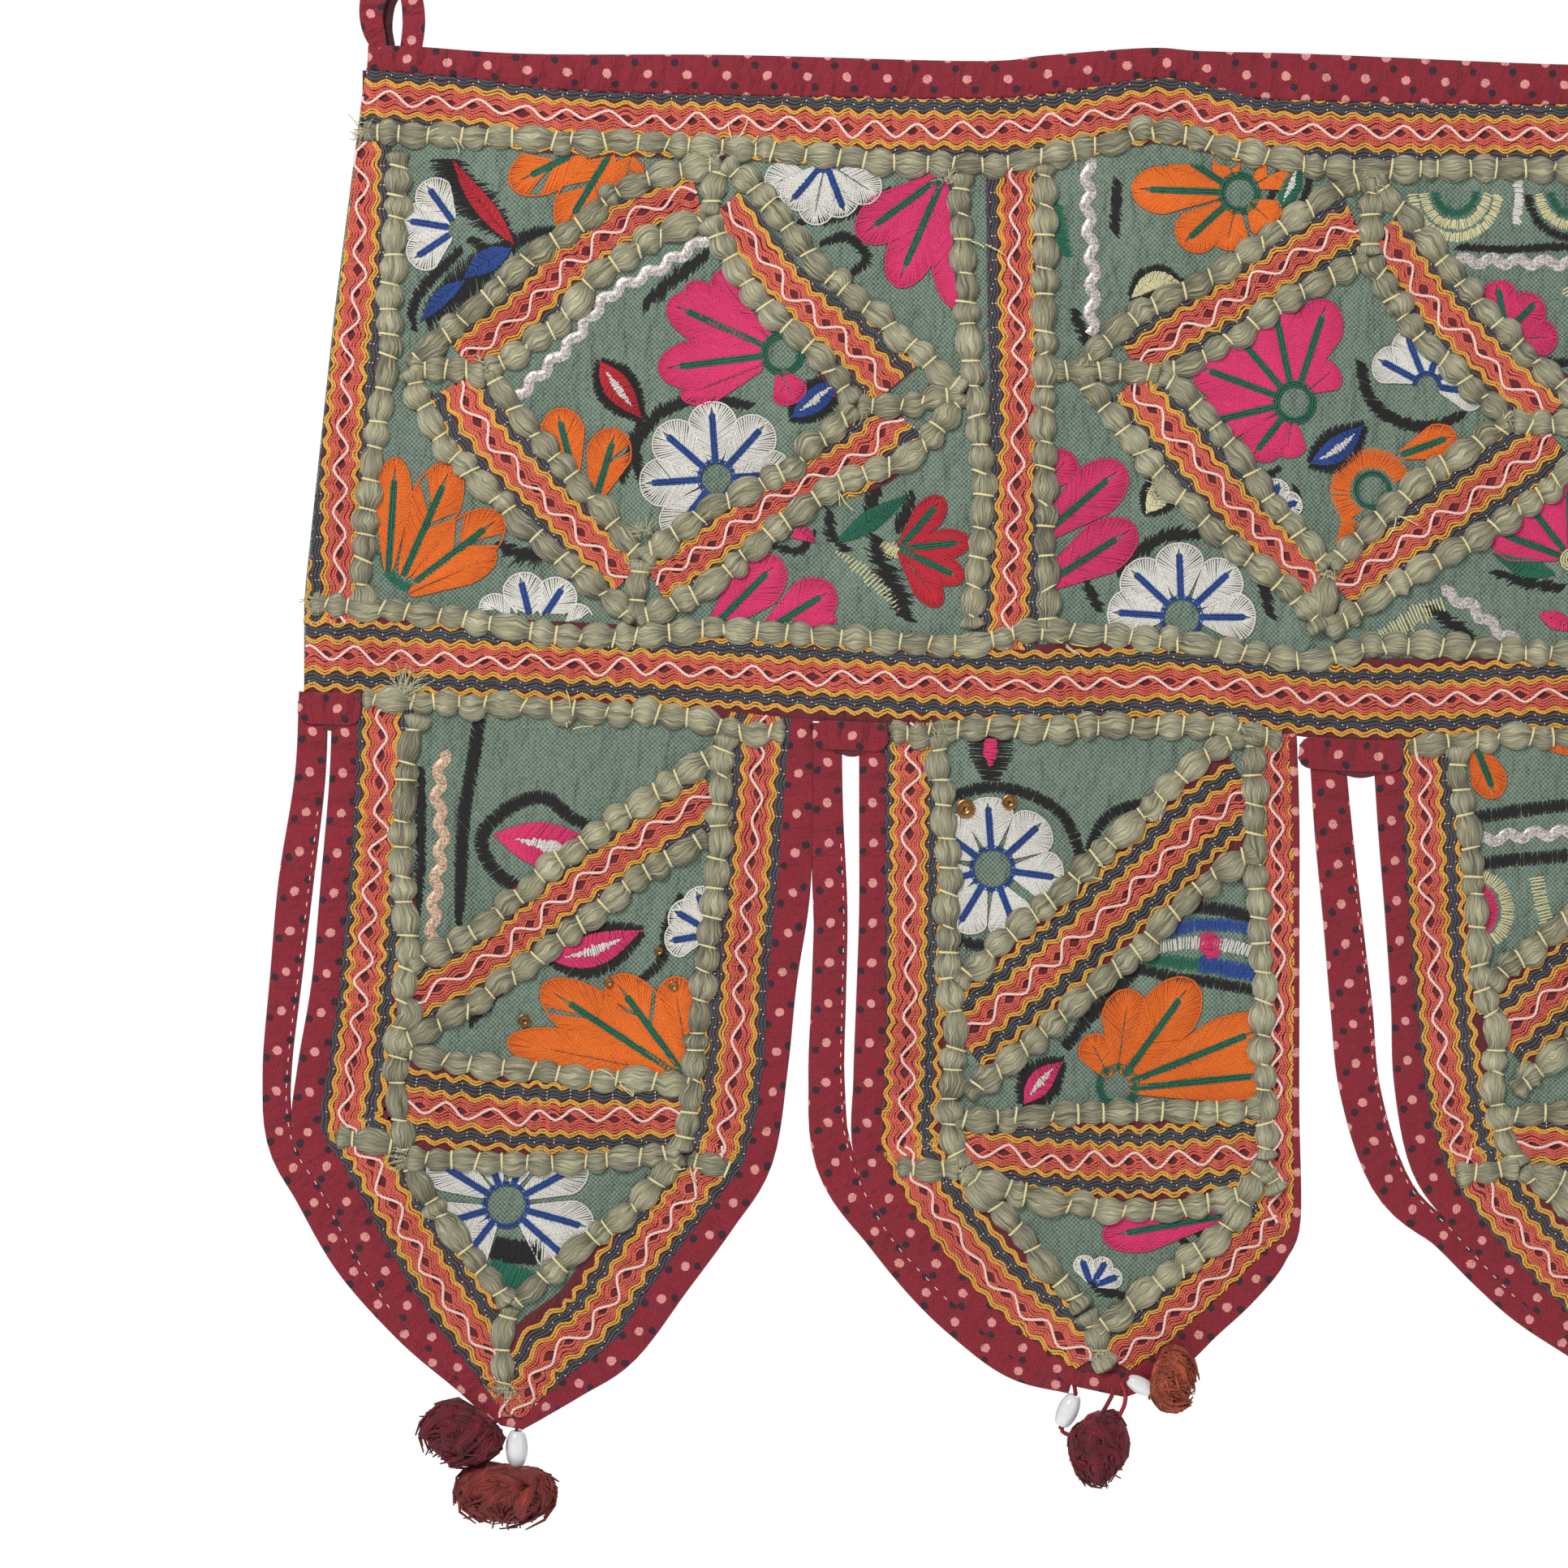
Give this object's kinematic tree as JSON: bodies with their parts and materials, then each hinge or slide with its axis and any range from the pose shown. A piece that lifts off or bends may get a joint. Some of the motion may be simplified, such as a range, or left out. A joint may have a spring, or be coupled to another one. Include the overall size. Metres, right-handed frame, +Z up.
{
  "type": "toran door hanging",
  "caption": "Patchwork cloth hanging for the top of a doorway: embroidered frieze with a taped heading and hanging loops, over pointed pennants with beads and pompoms.",
  "frame": {"origin": "middle of the top edge, in the plane of the cloth", "axes": "+X along the hanging from left to right as seen from the front, +Z up, the embroidered front faces -Y"},
  "size_m": [0.7358, 0.0285, 0.5394],
  "materials": {
    "patchwork_cloth": "plain woven cotton patches under couched thread and stitched flowers",
    "dotted_tape": "printed cotton tape, small pale and dark dots on maroon",
    "roving": "soft unspun cord, couched with pale thread",
    "dark_wool": "cut wool",
    "rust_wool": "cut wool",
    "bead_glass": "milky white pressed glass"
  },
  "bodies": {
    "root": {"bead_1": "bead_glass", "bead_2_left": "bead_glass", "bead_2_right": "bead_glass", "bead_3": "bead_glass", "bead_4": "bead_glass", "frieze_cloth": "patchwork_cloth", "hanging_loop_left": "dotted_tape", "hanging_loop_right": "dotted_tape", "heading_tape": "dotted_tape", "loose_strip_1": "dotted_tape", "loose_strip_2": "dotted_tape", "loose_strip_3": "dotted_tape", "loose_strip_4": "dotted_tape", "mid_cord": "roving", "pennant_binding_1": "dotted_tape", "pennant_binding_2": "dotted_tape", "pennant_binding_3": "dotted_tape", "pennant_binding_4": "dotted_tape", "pennant_cloth_1": "patchwork_cloth", "pennant_cloth_2": "patchwork_cloth", "pennant_cloth_3": "patchwork_cloth", "pennant_cloth_4": "patchwork_cloth", "pennant_cords_1": "roving", "pennant_cords_2": "roving", "pennant_cords_3": "roving", "pennant_cords_4": "roving", "pompom_1_lower": "dark_wool", "pompom_1_upper": "dark_wool", "pompom_2_dark": "dark_wool", "pompom_2_rust": "rust_wool", "pompom_3_lower": "dark_wool", "pompom_3_upper": "dark_wool", "pompom_4_lower": "dark_wool", "pompom_4_upper": "dark_wool", "square_cords_1": "roving", "square_cords_2": "roving", "square_cords_3": "roving", "top_cord": "roving"}
  },
  "joints": []
}
